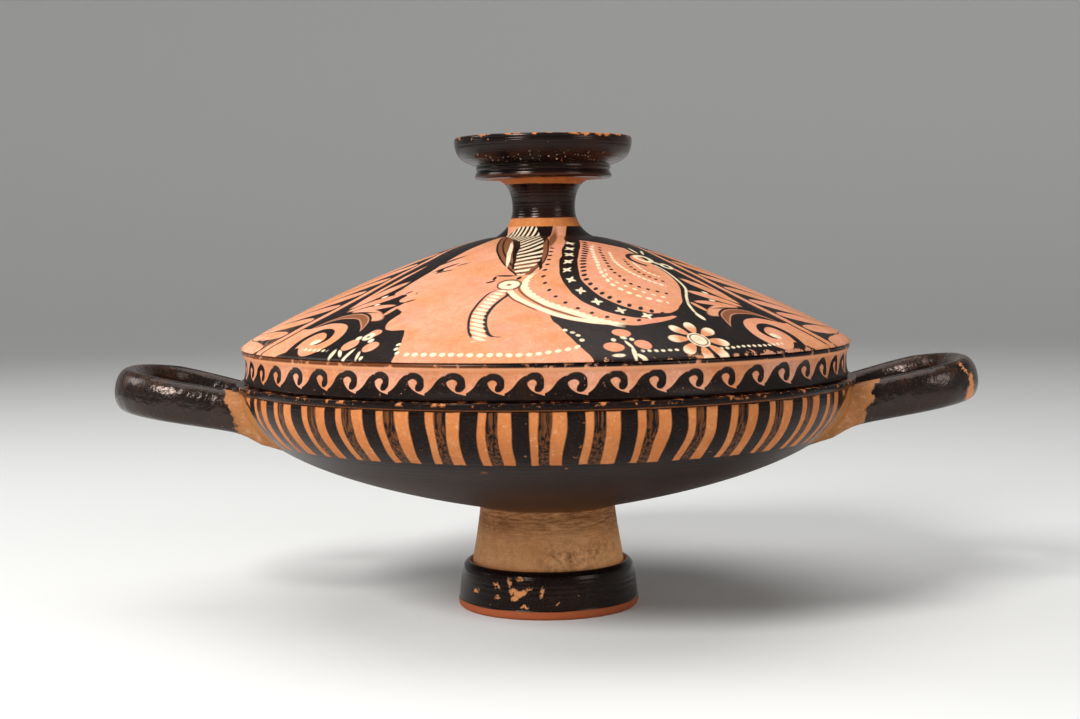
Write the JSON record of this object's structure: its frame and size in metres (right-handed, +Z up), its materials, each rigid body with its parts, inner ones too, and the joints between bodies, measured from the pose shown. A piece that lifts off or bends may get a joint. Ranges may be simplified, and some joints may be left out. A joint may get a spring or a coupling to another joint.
{
  "type": "lekanis",
  "caption": "Lidded shallow two-handled clay dish on a short hollow foot, with a domed lid lifted off by a dished knob.",
  "frame": {"origin": "middle of the foot's underside, on the surface it stands on", "axes": "+Z up along the axis the vessel was turned on, +X through the two handles, -Y towards the viewer of the main painted side"},
  "size_m": [0.3576, 0.2552, 0.1945],
  "materials": {
    "bowl_clay": "black gloss slip over fired orange clay",
    "lid_clay": "painted fired orange clay with black gloss slip"
  },
  "bodies": {
    "root": {"bowl": "bowl_clay", "lid": "lid_clay"}
  },
  "joints": []
}
